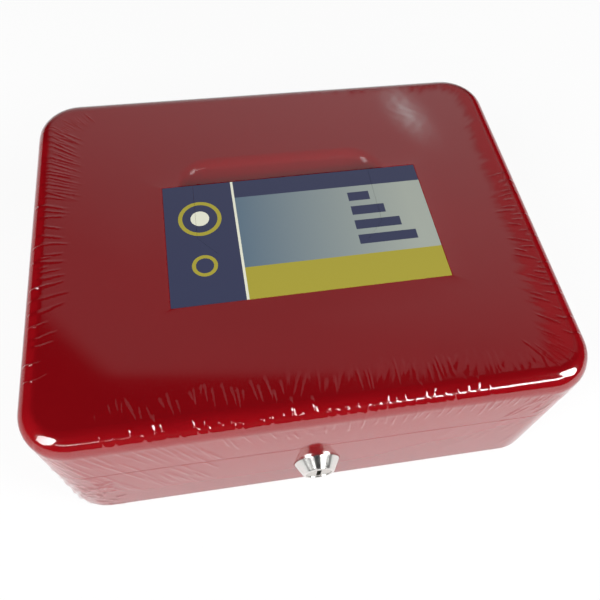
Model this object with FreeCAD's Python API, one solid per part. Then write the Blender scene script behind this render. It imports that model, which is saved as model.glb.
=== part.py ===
"""A pressed-steel cash box: a base pan and a hinged lid with a sunk carrying handle, a cam
lock in the front wall, a lift-out coin tray with its two keys, and a printed card on the lid.

Frame: millimetres, +Z up, -Y is the front with the lock, origin on the underside at the
middle of the base. The lid is shut, the handle lies back in its recess and the lock is open.
"""
import FreeCAD, Part
import math
import os

from FreeCAD import Vector

# Case: outside sizes, sheet and the seam between base and lid
case_width = 250.0
case_depth = 200.0
case_height = 90.0
case_corner_radius = 22.0
sheet = 0.8
lid_height = 36.0
lid_edge_radius = 9.0
base_edge_radius = 5.0
seam_gap = 0.5
rim_height = 7.0
rim_clearance = 0.4

# Handle recess pressed into the lid, set towards the back of it
recess_width = 104.0
recess_length = 60.0
recess_depth = 12.0
recess_corner_radius = 16.0
recess_draft_deg = 24.0
recess_lip_radius = 6.0
recess_floor_radius = 3.0
recess_shift = 15.0

# Bail handle of round wire, and the two saddle clips that hold its ends
handle_wire = 5.0
handle_side_gap = 1.2
handle_finger_gap = 6.0
handle_grip_bend = 9.0
handle_end_bend = 6.0
handle_end_length = 16.0
handle_running_gap = 0.08
clip_width = 8.0
clip_sheet = 1.2
clip_foot = 6.0
clip_front_gap = 0.5
clip_bend_gap = 1.0

# Rivets: the small ones hold the clips, the large ones the hinges
small_rivet_shank = 2.4
small_rivet_head = 4.4
hinge_rivet_shank = 3.0
hinge_rivet_head = 6.0
rivet_head_height = 1.0
rivet_hole_gap = 0.05

# Two barrel hinges on the back wall, each set in from its end of the case
hinge_inset = 55.0
hinge_width = 40.0
hinge_knuckle = 10.0
hinge_side_gap = 0.3
hinge_barrel = 6.0
hinge_pin = 3.0
hinge_pin_head = 4.8
hinge_pin_head_height = 0.8
hinge_sheet = 1.2
hinge_leaf_height = 24.0
hinge_notch_gap = 0.6
hinge_running_gap = 0.05
hinge_pin_fit_gap = 0.02
hinge_rivet_spacing = 24.0
hinge_rivet_drop = 14.0

# Cam lock through the front wall of the base
lock_drop = 22.5
lock_bezel = 22.0
lock_bezel_land = 0.8
lock_nose = 15.0
lock_nose_length = 6.5
lock_edge_radius = 0.4
lock_barrel = 16.0
lock_barrel_flats = 14.0
lock_barrel_length = 15.0
lock_hole_gap = 0.1
lock_washer = 24.0
lock_washer_sheet = 0.8
lock_nut_flats = 22.0
lock_nut_height = 4.0
plug_diameter = 11.0
plug_head = 12.5
plug_head_length = 2.0
plug_face_sink = 0.3
plug_running_gap = 0.05
plug_tail = 9.0
plug_tail_flats = 6.4
keyway_width = 2.2
keyway_height = 8.0
keyway_depth = 16.0
wafer_count = 5
wafer_pitch = 2.4
wafer_sheet = 1.0
wafer_width = 4.0
wafer_window_width = 2.8
wafer_window_height = 8.2
wafer_gap = 0.05
wafer_first = 4.6
cam_sheet = 2.0
cam_width = 8.0
cam_hub = 14.0
cam_length = 17.0
cam_end_gap = 0.1
cam_fit_gap = 0.05
cam_washer = 10.0
cam_washer_sheet = 0.8
cam_screw_head = 8.0
cam_screw_head_height = 2.4
cam_screw_shank = 3.0
cam_screw_length = 7.0
cam_screw_gap = 0.02
screw_slot_width = 1.0
screw_slot_depth = 1.1

# Strike inside the lid, whose lip lies under the turned cam
strike_sheet = 1.5
strike_width = 9.0
strike_side = 9.5
strike_pad_width = 22.0
strike_pad_gap = 0.5
strike_rim_gap = 3.5
strike_cam_gap = 0.8
strike_barrel_gap = 1.5
strike_lip_reach = 1.4

# Ledges on the side walls that carry the tray
ledge_sheet = 1.0
ledge_reach = 8.7
ledge_drop = 13.0
ledge_length = 110.0
ledge_gap = 0.5

# Lift-out coin tray: five coin wells in front, three bins behind
tray_flange = 2.0
tray_wall = 1.8
tray_depth = 25.0
tray_rim_gap_x = 1.5
tray_rim_gap_y = 2.0
tray_ledge_gap = 1.0
tray_margin = 3.0
tray_corner_radius = 16.0
tray_row_split = 12.0
tray_lock_gap = 2.5
well_count = 5
well_corner_radius = 7.0
well_floor_radius = 11.0
bin_count = 3
bin_corner_radius = 7.0
bin_floor_radius = 5.0

# Two flat keys, kept in the left-hand bin
key_sheet = 2.0
key_bow_width = 21.0
key_bow_length = 19.0
key_bow_radius = 7.0
key_hole = 5.0
key_blade_width = 7.6
key_blade_length = 25.0
key_tip_radius = 2.5
key_cut_width = 2.0
key_cut_depths = (1.4, 0.8, 1.6, 1.1, 0.6)
key_turn_deg = 12.0
key_spacing = 30.0

# Printed card on the lid, slit so that a flap of it folds up with the handle
card_width = 131.0
card_length = 70.6
card_sheet = 0.3
card_shift_x = 5.3
card_shift_y = -4.4
card_turn_deg = 0.7
card_slit = 0.3
flap_fold_reach = 16.0
flap_taper_reach = 10.4
flap_taper_inset = 9.2
flap_handle_gap = 1.7

# Places that follow from the sizes above
half_width = case_width / 2
half_depth = case_depth / 2
seam_z = case_height - lid_height
lid_bottom_z = seam_z + seam_gap
rim_top_z = seam_z + rim_height
rim_outer_inset = sheet + rim_clearance
rim_inner_inset = rim_outer_inset + sheet

recess_slope = math.tan(math.radians(recess_draft_deg))
recess_floor_z = case_height - recess_depth
recess_floor_half_width = recess_width / 2 - recess_depth * recess_slope
recess_floor_half_length = recess_length / 2 - recess_depth * recess_slope
recess_fillet_run = recess_floor_radius * math.tan(math.radians(90 - recess_draft_deg) / 2)
recess_flat_half_width = recess_floor_half_width - recess_fillet_run
recess_flat_front_y = recess_shift - recess_floor_half_length + recess_fillet_run
recess_flat_back_y = recess_shift + recess_floor_half_length - recess_fillet_run

wire_radius = handle_wire / 2
saddle_bore = wire_radius + handle_running_gap
saddle_radius = saddle_bore + clip_sheet
clip_half_length = saddle_radius + clip_foot
handle_pivot_y = recess_flat_front_y + clip_front_gap + clip_half_length
handle_pivot_z = recess_floor_z + saddle_bore
handle_leg_x = recess_flat_half_width - handle_side_gap - wire_radius
handle_grip_y = recess_flat_back_y - handle_finger_gap - wire_radius
handle_end_x = handle_leg_x - handle_end_length
clip_outer_x = handle_leg_x - handle_end_bend - clip_bend_gap

hinge_x = half_width - hinge_inset
hinge_axis_y = half_depth - sheet - hinge_sheet + hinge_barrel / 2
hinge_axis_z = seam_z + seam_gap / 2
hinge_inner_y = half_depth - sheet - hinge_sheet

card_top_z = case_height + card_sheet
flap_fold_y = handle_pivot_y - flap_fold_reach
flap_taper_y = flap_fold_y + flap_taper_reach
flap_half_width = handle_leg_x + wire_radius + flap_handle_gap

lock_z = seam_z - lock_drop
front_y = -half_depth
front_inner_y = front_y + sheet
nose_y = front_y - lock_nose_length
barrel_end_y = front_y + lock_barrel_length
plug_face_y = nose_y + plug_face_sink
plug_head_end_y = plug_face_y + plug_head_length
cam_y = barrel_end_y + cam_end_gap
cam_back_y = cam_y + cam_sheet
cam_washer_back_y = cam_back_y + cam_washer_sheet
cam_screw_back_y = cam_washer_back_y + cam_screw_head_height

strike_lip_top_z = lock_z - cam_width / 2 - strike_cam_gap
strike_shelf_z = rim_top_z + strike_rim_gap
strike_pad_top_z = case_height - lid_edge_radius - strike_pad_gap
strike_drop_y = cam_y - strike_barrel_gap - strike_sheet

ledge_top_z = seam_z - sheet - ledge_gap
ledge_inner_x = half_width - sheet - ledge_reach

flange_top_z = ledge_top_z + tray_flange
flange_half_width = half_width - rim_inner_inset - tray_rim_gap_x
flange_half_depth = half_depth - rim_inner_inset - tray_rim_gap_y
well_bottom_z = ledge_top_z - tray_depth
well_floor_z = well_bottom_z + tray_wall
wells_half_width = ledge_inner_x - tray_ledge_gap - tray_wall
wells_front_y = -flange_half_depth + tray_margin + tray_wall
wells_back_y = flange_half_depth - tray_margin - tray_wall
lock_bay_y = cam_screw_back_y + tray_lock_gap
well_width = (2 * wells_half_width - (well_count - 1) * tray_wall) / well_count
bin_width = (2 * wells_half_width - (bin_count - 1) * tray_wall) / bin_count


# Shape helpers


def block(x0, x1, y0, y1, z0, z1):
    """A rectangular solid between two corners."""
    return Part.makeBox(x1 - x0, y1 - y0, z1 - z0, Vector(x0, y0, z0))


def rod_x(radius, x0, x1, y, z):
    """A round bar along X."""
    return Part.makeCylinder(radius, x1 - x0, Vector(x0, y, z), Vector(1, 0, 0))


def rod_y(radius, y0, y1, x, z):
    """A round bar along Y."""
    return Part.makeCylinder(radius, y1 - y0, Vector(x, y0, z), Vector(0, 1, 0))


def rod_z(radius, z0, z1, x, y):
    """A round bar along Z."""
    return Part.makeCylinder(radius, z1 - z0, Vector(x, y, z0))


def rounded_prism(x0, x1, y0, y1, z0, z1, radius):
    """A rectangular solid whose upright edges are rounded."""
    solid = block(x0, x1, y0, y1, z0, z1)
    return solid.makeFillet(radius, upright_edges(solid))


def upright_edges(solid):
    """The straight edges of a solid that run along Z."""
    found = []
    for edge in solid.Edges:
        ends = [vertex.Point for vertex in edge.Vertexes]
        if len(ends) == 2 and abs(ends[0].x - ends[1].x) + abs(ends[0].y - ends[1].y) < 1e-6:
            found.append(edge)
    return found


def level_edges(solid, z):
    """The edges of a solid that lie wholly at one height."""
    box_of = [(edge, edge.BoundBox) for edge in solid.Edges]
    return [edge for edge, box in box_of if abs(box.ZMin - z) < 1e-4 and abs(box.ZMax - z) < 1e-4]


def within(edges, half_x, y0, y1):
    """The edges that lie inside a rectangle about the middle of X."""
    kept = []
    for edge in edges:
        box = edge.BoundBox
        if box.XMin > -half_x and box.XMax < half_x and box.YMin > y0 and box.YMax < y1:
            kept.append(edge)
    return kept


def double_flat_rod(radius, flats, y0, y1, x, z):
    """A round bar along Y with a flat on its left and right sides."""
    round_bar = rod_y(radius, y0, y1, x, z)
    return round_bar.common(block(x - flats / 2, x + flats / 2, y0, y1, z - radius, z + radius))


def mirrored(shape):
    """The same piece on the other side of the middle of the box."""
    return shape.mirror(Vector(0, 0, 0), Vector(1, 0, 0))


def joined(shapes):
    """One solid from touching or overlapping ones."""
    return shapes[0].multiFuse(shapes[1:]).removeSplitter()


def domed_head(radius, height, base, outward):
    """A low rivet or pin head that stands on a face."""
    disc = Part.makeCylinder(radius, height, base, outward)
    crowns = [edge for edge in disc.Edges if edge.Closed]
    far = max(crowns, key=lambda edge: edge.CenterOfMass.dot(outward))
    return disc.makeFillet(height / 2, [far])


def rivet(shank, head, start, end):
    """A set rivet whose heads lie on the outer faces of what it clamps."""
    way = (end - start).normalize()
    bar = Part.makeCylinder(shank / 2, (end - start).Length, start, way)
    near = domed_head(head / 2, rivet_head_height, start, way.negative())
    far = domed_head(head / 2, rivet_head_height, end, way)
    return joined([bar, near, far])


# Base pan


def base_form(inset):
    """The solid that the base pan's skin encloses, drawn in by an inset."""
    solid = rounded_prism(
        -half_width + inset,
        half_width - inset,
        -half_depth + inset,
        half_depth - inset,
        inset,
        seam_z,
        case_corner_radius - inset,
    )
    return solid.makeFillet(base_edge_radius - inset, level_edges(solid, inset))


def rim_ring(outer_inset, inner_inset, z0, z1):
    """An upright band that follows the case outline."""
    outer = rounded_prism(
        -half_width + outer_inset,
        half_width - outer_inset,
        -half_depth + outer_inset,
        half_depth - outer_inset,
        z0,
        z1,
        case_corner_radius - outer_inset,
    )
    inner = rounded_prism(
        -half_width + inner_inset,
        half_width - inner_inset,
        -half_depth + inner_inset,
        half_depth - inner_inset,
        z0,
        z1,
        case_corner_radius - inner_inset,
    )
    return outer.cut(inner)


def make_base_shell():
    """A drawn pan with a shelf at the seam and an upright rim that the lid closes over."""
    pan = base_form(0).cut(base_form(sheet))
    shelf = rim_ring(0, rim_inner_inset, seam_z - sheet, seam_z)
    rim = rim_ring(rim_outer_inset, rim_inner_inset, seam_z - sheet, rim_top_z)
    shell = joined([pan, shelf, rim])
    lock_hole = double_flat_rod(
        lock_barrel / 2 + lock_hole_gap,
        lock_barrel_flats + 2 * lock_hole_gap,
        front_y - sheet,
        front_inner_y + sheet,
        0,
        lock_z,
    )
    cuts = [lock_hole] + hinge_notches(hinge_axis_z - hinge_barrel / 2 - hinge_notch_gap, rim_top_z + sheet)
    cuts += hinge_rivet_holes(hinge_axis_z - hinge_rivet_drop)
    return shell.cut(Part.makeCompound(cuts))


def make_tray_ledge():
    """An angle strip, spot-welded to a side wall, that carries the tray's flange."""
    wall_x = half_width - sheet
    upright = block(
        wall_x - ledge_sheet,
        wall_x,
        -ledge_length / 2,
        ledge_length / 2,
        ledge_top_z - ledge_drop,
        ledge_top_z,
    )
    foot = block(
        ledge_inner_x,
        wall_x,
        -ledge_length / 2,
        ledge_length / 2,
        ledge_top_z - ledge_sheet,
        ledge_top_z,
    )
    return joined([upright, foot])


# Hinges


def hinge_notches(z0, z1):
    """Room in a back wall for the hinge barrels."""
    notches = []
    for side in (-1, 1):
        middle = side * hinge_x
        reach = hinge_width / 2 + hinge_pin_head_height + hinge_notch_gap
        notches.append(
            block(
                middle - reach,
                middle + reach,
                hinge_inner_y - sheet,
                hinge_axis_y + hinge_barrel,
                z0,
                z1,
            )
        )
    return notches


def hinge_rivet_places():
    """Where the hinge rivets lie along X."""
    places = []
    for side in (-1, 1):
        for end in (-1, 1):
            places.append(side * hinge_x + end * hinge_rivet_spacing / 2)
    return places


def hinge_rivet_holes(z):
    """Holes for the hinge rivets, through the back wall and the leaf on it."""
    radius = hinge_rivet_shank / 2 + rivet_hole_gap
    return [rod_y(radius, hinge_inner_y - sheet, half_depth + sheet, x, z) for x in hinge_rivet_places()]


def make_hinge_leaf(of_lid):
    """A leaf of the right-hand hinge: a plate inside the back wall, rolled into knuckles."""
    x0 = hinge_x - hinge_width / 2
    x1 = x0 + hinge_width
    middle = (x0 + hinge_knuckle, x1 - hinge_knuckle)
    if of_lid:
        own = [(middle[0] + hinge_side_gap, middle[1] - hinge_side_gap)]
        other = [(x0 - sheet, middle[0] + hinge_side_gap), (middle[1] - hinge_side_gap, x1 + sheet)]
        z0, z1 = hinge_axis_z, hinge_axis_z + hinge_leaf_height
        rivet_z = hinge_axis_z + hinge_rivet_drop
        pin_gap = hinge_running_gap
    else:
        own = [(x0, middle[0]), (middle[1], x1)]
        other = [middle]
        z0, z1 = hinge_axis_z - hinge_leaf_height, hinge_axis_z
        rivet_z = hinge_axis_z - hinge_rivet_drop
        pin_gap = hinge_pin_fit_gap
    plate = block(x0, x1, hinge_inner_y, hinge_inner_y + hinge_sheet, z0, z1)
    reach = hinge_barrel / 2 + hinge_notch_gap
    rooms = [
        block(a, b, hinge_inner_y - sheet, hinge_axis_y + reach, hinge_axis_z - reach, hinge_axis_z + reach)
        for a, b in other
    ]
    plate = plate.cut(Part.makeCompound(rooms + hinge_rivet_holes(rivet_z)))
    rolls = [rod_x(hinge_barrel / 2, a, b, hinge_axis_y, hinge_axis_z) for a, b in own]
    leaf = joined([plate] + rolls)
    bore = rod_x(hinge_pin / 2 + pin_gap, x0 - sheet, x1 + sheet, hinge_axis_y, hinge_axis_z)
    return leaf.cut(bore)


def make_hinge_pin():
    """The pin of the right-hand hinge, with a peened head at each end."""
    x0 = hinge_x - hinge_width / 2
    x1 = x0 + hinge_width
    start = Vector(x0, hinge_axis_y, hinge_axis_z)
    end = Vector(x1, hinge_axis_y, hinge_axis_z)
    bar = rod_x(hinge_pin / 2, x0, x1, hinge_axis_y, hinge_axis_z)
    heads = [
        domed_head(hinge_pin_head / 2, hinge_pin_head_height, start, Vector(-1, 0, 0)),
        domed_head(hinge_pin_head / 2, hinge_pin_head_height, end, Vector(1, 0, 0)),
    ]
    return joined([bar] + heads)


def make_hinge_rivets(z):
    """The rivets through the back wall and one pair of leaves."""
    rivets = []
    for x in hinge_rivet_places():
        inside = Vector(x, hinge_inner_y, z)
        outside = Vector(x, half_depth, z)
        rivets.append(rivet(hinge_rivet_shank, hinge_rivet_head, inside, outside))
    return Part.makeCompound(rivets)


# Lid


def recess_form(grow):
    """The sloping pocket for the handle, from above the lid down to its floor."""
    side = grow / math.cos(math.radians(recess_draft_deg))
    depth = recess_depth + grow
    top_radius = recess_corner_radius + side
    low_radius = top_radius - depth * recess_slope
    core_x = recess_width / 2 - recess_corner_radius
    core_y = recess_length / 2 - recess_corner_radius
    low_z = case_height - depth
    corners = [
        Part.makeCone(low_radius, top_radius, depth, Vector(sx * core_x, recess_shift + sy * core_y, low_z))
        for sx in (-1, 1)
        for sy in (-1, 1)
    ]
    across = wedge(core_x + low_radius, core_x + top_radius, low_z, case_height)
    across = across.extrude(Vector(0, 2 * core_y, 0))
    across.translate(Vector(0, recess_shift - core_y, 0))
    along = wedge(core_y + low_radius, core_y + top_radius, low_z, case_height)
    along.rotate(Vector(0, 0, 0), Vector(0, 0, 1), 90)
    along = along.extrude(Vector(2 * core_x, 0, 0))
    along.translate(Vector(-core_x, recess_shift, 0))
    pocket = joined([across, along] + corners)
    return pocket.makeFillet(recess_floor_radius + grow, level_edges(pocket, low_z))


def wedge(low_half, top_half, z0, z1):
    """An upright face in the XZ plane, narrower at the bottom than at the top."""
    corners = [
        Vector(-low_half, 0, z0),
        Vector(low_half, 0, z0),
        Vector(top_half, 0, z1),
        Vector(-top_half, 0, z1),
    ]
    return Part.Face(Part.makePolygon(corners + corners[:1]))


def lid_form(inset):
    """The solid that the lid's skin encloses, drawn in by an inset."""
    top_z = case_height - inset
    solid = rounded_prism(
        -half_width + inset,
        half_width - inset,
        -half_depth + inset,
        half_depth - inset,
        lid_bottom_z,
        top_z,
        case_corner_radius - inset,
    )
    solid = solid.makeFillet(lid_edge_radius - inset, level_edges(solid, top_z))
    solid = solid.cut(recess_form(inset)).removeSplitter()
    lip = within(
        level_edges(solid, top_z),
        recess_width / 2 + lid_edge_radius,
        recess_shift - recess_length / 2 - lid_edge_radius,
        recess_shift + recess_length / 2 + lid_edge_radius,
    )
    return solid.makeFillet(recess_lip_radius - inset, lip)


def make_lid_shell():
    """A drawn lid with rounded edges and the handle recess pressed into its top."""
    shell = lid_form(0).cut(lid_form(sheet))
    cuts = hinge_notches(lid_bottom_z - sheet, hinge_axis_z + hinge_barrel / 2 + hinge_notch_gap)
    cuts += hinge_rivet_holes(hinge_axis_z + hinge_rivet_drop)
    radius = small_rivet_shank / 2 + rivet_hole_gap
    cuts += [
        rod_z(radius, recess_floor_z - 2 * sheet, recess_floor_z + sheet, x, y)
        for x, y in clip_rivet_places()
    ]
    return shell.cut(Part.makeCompound(cuts))


# Handle and its clips


def clip_rivet_places():
    """Where the clip rivets lie in the recess floor."""
    places = []
    foot_middle = saddle_radius + clip_foot / 2
    for side in (-1, 1):
        for end in (-1, 1):
            places.append((side * (clip_outer_x - clip_width / 2), handle_pivot_y + end * foot_middle))
    return places


def make_handle_clip():
    """The right-hand saddle clip: a strap bent over the handle's end, with two riveted feet."""
    x0 = clip_outer_x - clip_width
    x1 = clip_outer_x
    feet = block(
        x0,
        x1,
        handle_pivot_y - clip_half_length,
        handle_pivot_y + clip_half_length,
        recess_floor_z,
        recess_floor_z + clip_sheet,
    )
    bow = rod_x(saddle_radius, x0, x1, handle_pivot_y, handle_pivot_z)
    cheeks = block(
        x0,
        x1,
        handle_pivot_y - saddle_radius,
        handle_pivot_y + saddle_radius,
        recess_floor_z,
        handle_pivot_z,
    )
    above_floor = block(
        x0,
        x1,
        handle_pivot_y - clip_half_length,
        handle_pivot_y + clip_half_length,
        recess_floor_z,
        handle_pivot_z + saddle_radius,
    )
    strap = joined([feet, bow, cheeks]).common(above_floor)
    bore = rod_x(saddle_bore, x0 - sheet, x1 + sheet, handle_pivot_y, handle_pivot_z)
    throat = block(
        x0 - sheet,
        x1 + sheet,
        handle_pivot_y - saddle_bore,
        handle_pivot_y + saddle_bore,
        recess_floor_z - sheet,
        handle_pivot_z,
    )
    radius = small_rivet_shank / 2 + rivet_hole_gap
    holes = [
        rod_z(radius, recess_floor_z - sheet, recess_floor_z + 2 * clip_sheet, x, y)
        for x, y in clip_rivet_places()
    ]
    return strap.cut(Part.makeCompound([bore, throat] + holes))


def make_clip_rivets():
    """The rivets through the clips' feet and the recess floor."""
    rivets = []
    for x, y in clip_rivet_places():
        below = Vector(x, y, recess_floor_z - sheet)
        above = Vector(x, y, recess_floor_z + clip_sheet)
        rivets.append(rivet(small_rivet_shank, small_rivet_head, below, above))
    return Part.makeCompound(rivets)


def bent_path(points, radii):
    """A wire of straight runs joined by tangent arcs at the inner points."""
    edges = []
    start = points[0]
    for before, corner, after, radius in zip(points, points[1:], points[2:], radii):
        into = (corner - before).normalize()
        out = (after - corner).normalize()
        half_turn = into.getAngle(out) / 2
        run = radius * math.tan(half_turn)
        first = corner - into * run
        last = corner + out * run
        towards = (out - into).normalize()
        middle = corner + towards * (radius / math.cos(half_turn) - radius)
        edges.append(Part.LineSegment(start, first).toShape())
        edges.append(Part.Arc(first, middle, last).toShape())
        start = last
    edges.append(Part.LineSegment(start, points[-1]).toShape())
    return Part.Wire(edges)


def make_handle_bail():
    """A wire bail lying back in the recess, with its two ends turned in under the clips."""
    z = handle_pivot_z
    points = [
        Vector(-handle_end_x, handle_pivot_y, z),
        Vector(-handle_leg_x, handle_pivot_y, z),
        Vector(-handle_leg_x, handle_grip_y, z),
        Vector(handle_leg_x, handle_grip_y, z),
        Vector(handle_leg_x, handle_pivot_y, z),
        Vector(handle_end_x, handle_pivot_y, z),
    ]
    radii = [handle_end_bend, handle_grip_bend, handle_grip_bend, handle_end_bend]
    path = bent_path(points, radii)
    section = Part.Wire(Part.makeCircle(wire_radius, points[0], Vector(1, 0, 0)))
    return path.makePipeShell([section], True, False)


# Lock


def make_lock_barrel():
    """The fixed housing: a bright cone outside, a flatted barrel inside, bored for the plug."""
    land = rod_y(lock_bezel / 2, front_y - lock_bezel_land, front_y, 0, lock_z)
    cone = Part.makeCone(
        lock_bezel / 2,
        lock_nose / 2,
        lock_nose_length - lock_bezel_land,
        Vector(0, front_y - lock_bezel_land, lock_z),
        Vector(0, -1, 0),
    )
    head = joined([land, cone])
    nose_edge = [edge for edge in head.Edges if edge.BoundBox.YMax < nose_y + sheet / 2]
    head = head.makeFillet(lock_edge_radius, nose_edge)
    barrel = double_flat_rod(lock_barrel / 2, lock_barrel_flats, front_y, barrel_end_y, 0, lock_z)
    body = joined([head, barrel])
    bore = rod_y(plug_diameter / 2 + plug_running_gap, nose_y - sheet, barrel_end_y + sheet, 0, lock_z)
    seat = rod_y(
        plug_head / 2 + plug_running_gap, nose_y - sheet, plug_head_end_y + plug_running_gap, 0, lock_z
    )
    return body.cut(Part.makeCompound([bore, seat]))


def make_lock_washer():
    """A plain washer between the front wall and the nut."""
    y1 = front_inner_y + lock_washer_sheet
    ring = rod_y(lock_washer / 2, front_inner_y, y1, 0, lock_z)
    return ring.cut(rod_y(lock_barrel / 2 + lock_hole_gap, front_inner_y - sheet, y1 + sheet, 0, lock_z))


def make_lock_nut():
    """The hexagon nut that clamps the lock in the front wall."""
    y0 = front_inner_y + lock_washer_sheet
    y1 = y0 + lock_nut_height
    corner = lock_nut_flats / math.sqrt(3)
    ring = [
        Vector(corner * math.cos(math.radians(60 * k)), y0, lock_z + corner * math.sin(math.radians(60 * k)))
        for k in range(7)
    ]
    nut = Part.Face(Part.makePolygon(ring)).extrude(Vector(0, lock_nut_height, 0))
    return nut.cut(rod_y(lock_barrel / 2 + lock_hole_gap, y0 - sheet, y1 + sheet, 0, lock_z))


def wafer_places():
    """Where the wafers lie along the plug."""
    return [plug_face_y + wafer_first + wafer_pitch * k for k in range(wafer_count)]


def make_lock_plug():
    """The turning plug: a head, a slotted body with its keyway, and a flatted tail for the cam."""
    head = rod_y(plug_head / 2, plug_face_y, plug_head_end_y, 0, lock_z)
    body = rod_y(plug_diameter / 2, plug_head_end_y, barrel_end_y, 0, lock_z)
    tail = double_flat_rod(plug_tail / 2, plug_tail_flats, barrel_end_y, cam_back_y - cam_end_gap, 0, lock_z)
    plug = joined([head, body, tail])
    keyway = block(
        -keyway_width / 2,
        keyway_width / 2,
        plug_face_y - sheet,
        plug_face_y + keyway_depth,
        lock_z - keyway_height / 2,
        lock_z + keyway_height / 2,
    )
    slots = [
        block(
            -wafer_width / 2 - wafer_gap,
            wafer_width / 2 + wafer_gap,
            y - wafer_sheet / 2 - wafer_gap,
            y + wafer_sheet / 2 + wafer_gap,
            lock_z - plug_head,
            lock_z + plug_head,
        )
        for y in wafer_places()
    ]
    screw_hole = rod_y(
        cam_screw_shank / 2 + cam_screw_gap,
        cam_washer_back_y - cam_screw_length - cam_screw_gap,
        cam_back_y + sheet,
        0,
        lock_z,
    )
    return plug.cut(Part.makeCompound([keyway, screw_hole] + slots))


def make_lock_wafers():
    """The spring-loaded wafers, drawn in to the plug's own radius as the key holds them."""
    wafers = []
    for y in wafer_places():
        y0 = y - wafer_sheet / 2
        y1 = y + wafer_sheet / 2
        disc = rod_y(plug_diameter / 2, y0, y1, 0, lock_z)
        plate = disc.common(
            block(-wafer_width / 2, wafer_width / 2, y0, y1, lock_z - plug_diameter, lock_z + plug_diameter)
        )
        window = block(
            -wafer_window_width / 2,
            wafer_window_width / 2,
            y0 - sheet,
            y1 + sheet,
            lock_z - wafer_window_height / 2,
            lock_z + wafer_window_height / 2,
        )
        wafers.append(plate.cut(window))
    return Part.makeCompound(wafers)


def make_lock_cam():
    """The cam: a flat arm on the plug's tail, standing upright while the lock is open."""
    hub = rod_y(cam_hub / 2, cam_y, cam_back_y, 0, lock_z)
    arm = block(-cam_width / 2, cam_width / 2, cam_y, cam_back_y, lock_z, lock_z + cam_length - cam_width / 2)
    tip = rod_y(cam_width / 2, cam_y, cam_back_y, 0, lock_z + cam_length - cam_width / 2)
    hole = double_flat_rod(
        plug_tail / 2 + cam_fit_gap,
        plug_tail_flats + 2 * cam_fit_gap,
        cam_y - sheet,
        cam_back_y + sheet,
        0,
        lock_z,
    )
    return joined([hub, arm, tip]).cut(hole)


def make_cam_washer():
    """The washer under the cam screw's head."""
    ring = rod_y(cam_washer / 2, cam_back_y, cam_washer_back_y, 0, lock_z)
    hole = rod_y(
        cam_screw_shank / 2 + cam_fit_gap, cam_back_y - sheet, cam_washer_back_y + sheet, 0, lock_z
    )
    return ring.cut(hole)


def make_cam_screw():
    """The slotted screw that holds the cam on the plug."""
    head = rod_y(cam_screw_head / 2, cam_washer_back_y, cam_screw_back_y, 0, lock_z)
    shank = rod_y(
        cam_screw_shank / 2, cam_washer_back_y - cam_screw_length, cam_washer_back_y, 0, lock_z
    )
    slot = block(
        -cam_screw_head,
        cam_screw_head,
        cam_screw_back_y - screw_slot_depth,
        cam_screw_back_y + sheet,
        lock_z - screw_slot_width / 2,
        lock_z + screw_slot_width / 2,
    )
    return joined([head, shank]).cut(slot)


def make_strike_bracket():
    """A bent strike, spot-welded inside the lid's front wall, with a lip for the cam."""
    pad = block(
        strike_side + strike_width / 2 - strike_pad_width / 2,
        strike_side + strike_width / 2 + strike_pad_width / 2,
        front_inner_y,
        front_inner_y + strike_sheet,
        strike_shelf_z,
        strike_pad_top_z,
    )
    left = strike_side
    right = strike_side + strike_width
    drop_back_y = strike_drop_y + strike_sheet
    shelf = block(left, right, front_inner_y, drop_back_y, strike_shelf_z, strike_shelf_z + strike_sheet)
    drop = block(
        left,
        right,
        strike_drop_y,
        drop_back_y,
        strike_lip_top_z - strike_sheet,
        strike_shelf_z + strike_sheet,
    )
    lip = block(
        left,
        right,
        strike_drop_y,
        cam_back_y + strike_lip_reach,
        strike_lip_top_z - strike_sheet,
        strike_lip_top_z,
    )
    return joined([pad, shelf, drop, lip])


# Coin tray and keys


def bowl(x0, x1, y0, y1, corner, floor, grow):
    """A well with rounded corners and floor, or its outside when grown by the wall."""
    low_z = well_floor_z - grow
    solid = rounded_prism(
        x0 - grow, x1 + grow, y0 - grow, y1 + grow, low_z, flange_top_z, corner + grow
    )
    return solid.makeFillet(floor + grow, level_edges(solid, low_z))


def tray_bowls(grow):
    """The five coin wells and the three bins, the middle well short to clear the lock."""
    bowls = []
    front_end = -tray_row_split
    for k in range(well_count):
        x0 = -wells_half_width + k * (well_width + tray_wall)
        is_middle = k == well_count // 2
        y0 = lock_bay_y + tray_wall if is_middle else wells_front_y
        bowls.append(
            bowl(x0, x0 + well_width, y0, front_end, well_corner_radius, well_floor_radius, grow)
        )
    for k in range(bin_count):
        x0 = -wells_half_width + k * (bin_width + tray_wall)
        bowls.append(
            bowl(
                x0,
                x0 + bin_width,
                front_end + tray_wall,
                wells_back_y,
                bin_corner_radius,
                bin_floor_radius,
                grow,
            )
        )
    return bowls


def make_coin_tray():
    """A moulded tray: a flat flange with eight bowls hanging from it and a bay for the lock."""
    flange = rounded_prism(
        -flange_half_width,
        flange_half_width,
        -flange_half_depth,
        flange_half_depth,
        ledge_top_z,
        flange_top_z,
        tray_corner_radius,
    )
    bay = block(
        -well_width / 2,
        well_width / 2,
        -flange_half_depth - tray_wall,
        lock_bay_y,
        ledge_top_z - tray_depth,
        flange_top_z + tray_wall,
    )
    body = joined([flange] + tray_bowls(tray_wall)).cut(bay)
    return body.cut(Part.makeCompound(tray_bowls(0)))


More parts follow.
